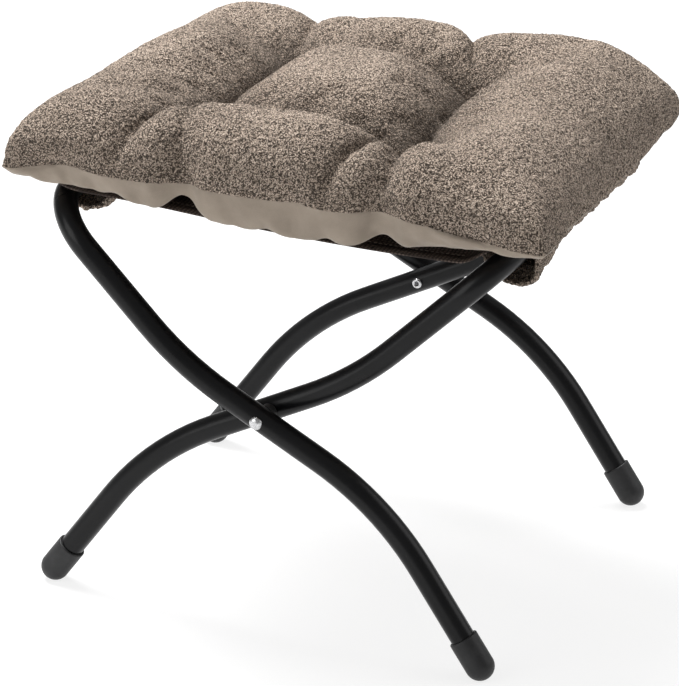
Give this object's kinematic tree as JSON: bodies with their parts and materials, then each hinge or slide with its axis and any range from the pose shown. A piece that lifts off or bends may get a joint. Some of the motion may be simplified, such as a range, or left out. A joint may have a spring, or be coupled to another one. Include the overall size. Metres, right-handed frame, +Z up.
{
  "type": "folding ottoman",
  "caption": "Folding ottoman: bent steel tube frames riveted in an X carry a woven sling and a tufted boucle cushion; the frames scissor shut and the seat folds up.",
  "frame": {"origin": "on the floor, under the middle of the seat", "axes": "+X along the seat from the outer frame's top bar to the inner frame's, +Y along the top bars away from the viewer, +Z up"},
  "size_m": [0.4652, 0.4178, 0.4115],
  "materials": {
    "black_powder_coat": "satin",
    "black_rubber": "matte",
    "plated_rivet": "bright",
    "black_nylon": "matte",
    "sling_weave": "woven",
    "boucle": "looped pile",
    "lining_cloth": "smooth",
    "fibre_filling": "fibre",
    "tie_thread": "twisted"
  },
  "bodies": {
    "outer_frame": {"outer_frame_tube": "black_powder_coat", "outer_near_foot_cap": "black_rubber", "outer_far_foot_cap": "black_rubber", "near_pivot_rivet": "plated_rivet", "far_pivot_rivet": "plated_rivet", "near_pivot_spacer": "black_nylon", "far_pivot_spacer": "black_nylon"},
    "inner_frame": {"inner_frame_tube": "black_powder_coat", "inner_near_foot_cap": "black_rubber", "inner_far_foot_cap": "black_rubber"},
    "seat_left": {"left_sling": "sling_weave", "left_sling_hems": "sling_weave", "left_bar_sleeve": "boucle", "left_top_cover": "boucle", "left_lining": "lining_cloth", "left_filling": "fibre_filling", "left_tuft_ties": "tie_thread"},
    "seat_right": {"right_sling": "sling_weave", "right_sling_hems": "sling_weave", "right_top_cover": "boucle", "right_lining": "lining_cloth", "right_filling": "fibre_filling", "right_tuft_ties": "tie_thread"},
    "right_sleeve": {"right_bar_sleeve": "boucle"}
  },
  "joints": [
    {"name": "fold", "type": "hinge", "parent": "outer_frame", "child": "inner_frame", "pos_m": [0, 0, 0.187], "axis": [0, -1, 0], "range_deg": [0, 84]},
    {"name": "seat_left_turn", "type": "hinge", "parent": "outer_frame", "child": "seat_left", "pos_m": [-0.187, 0, 0.339], "axis": [0, -1, 0], "range_deg": [0, 117.38]},
    {"name": "seat_mid_fold", "type": "hinge", "parent": "seat_left", "child": "seat_right", "pos_m": [0, 0, 0.3493], "axis": [0, -1, 0], "range_deg": [-150.75, 0]},
    {"name": "right_sleeve_turn", "type": "hinge", "parent": "inner_frame", "child": "right_sleeve", "pos_m": [0.187, 0, 0.339], "axis": [0, -1, 0], "range_deg": [-117.38, 0]}
  ],
  "couplings": [
    {"joint": "seat_left_turn", "follows": "fold", "ratio": 1.3973},
    {"joint": "seat_mid_fold", "follows": "fold", "ratio": -1.7946},
    {"joint": "right_sleeve_turn", "follows": "fold", "ratio": -1.3973}
  ]
}
